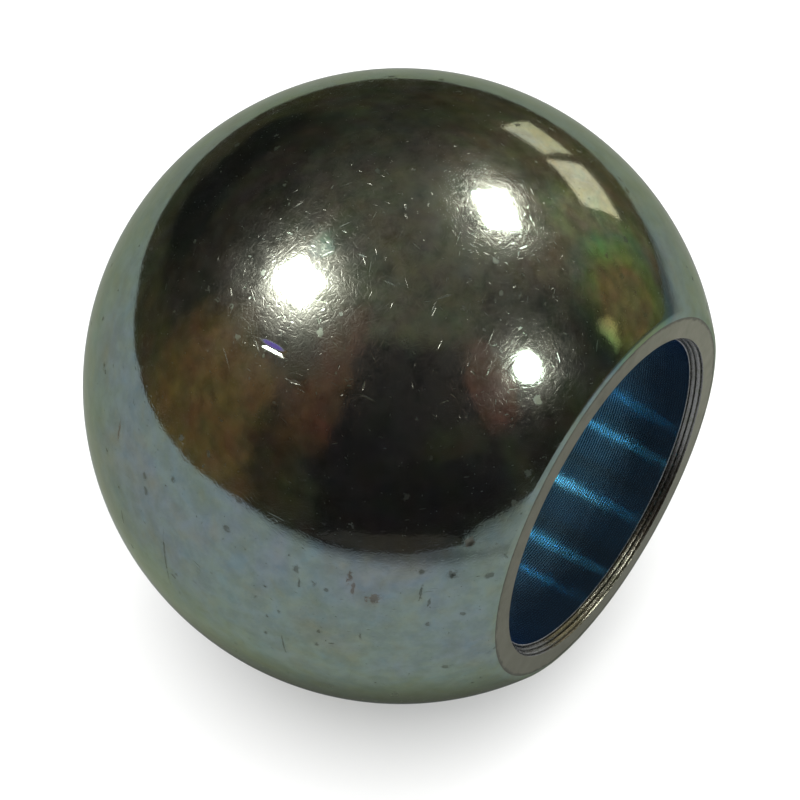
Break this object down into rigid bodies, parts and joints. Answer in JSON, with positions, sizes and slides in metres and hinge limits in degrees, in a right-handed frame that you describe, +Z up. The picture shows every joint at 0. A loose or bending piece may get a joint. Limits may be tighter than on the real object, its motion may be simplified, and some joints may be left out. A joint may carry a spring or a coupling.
{
  "type": "bored hitch ball",
  "caption": "Turned steel hitch ball with two flat ends and a straight through bore with stepped mouths, to slide on a hitch pin and swivel in a spherical socket.",
  "frame": {"origin": "centre of the ball, midway along the bore", "axes": "+Y along the bore axis, which is also the shortest way across the part; +Z up with the bore level, as the ball lies on its round side; +X completes the right-handed frame"},
  "size_m": [0.044, 0.035, 0.044],
  "materials": {
    "zinc_plate": "bright blue-passivated zinc plate, rubbed nearly mirror-smooth on the ball and finely turned in the bore and on the ends"
  },
  "bodies": {
    "root": {"link_ball": "zinc_plate"}
  },
  "joints": []
}
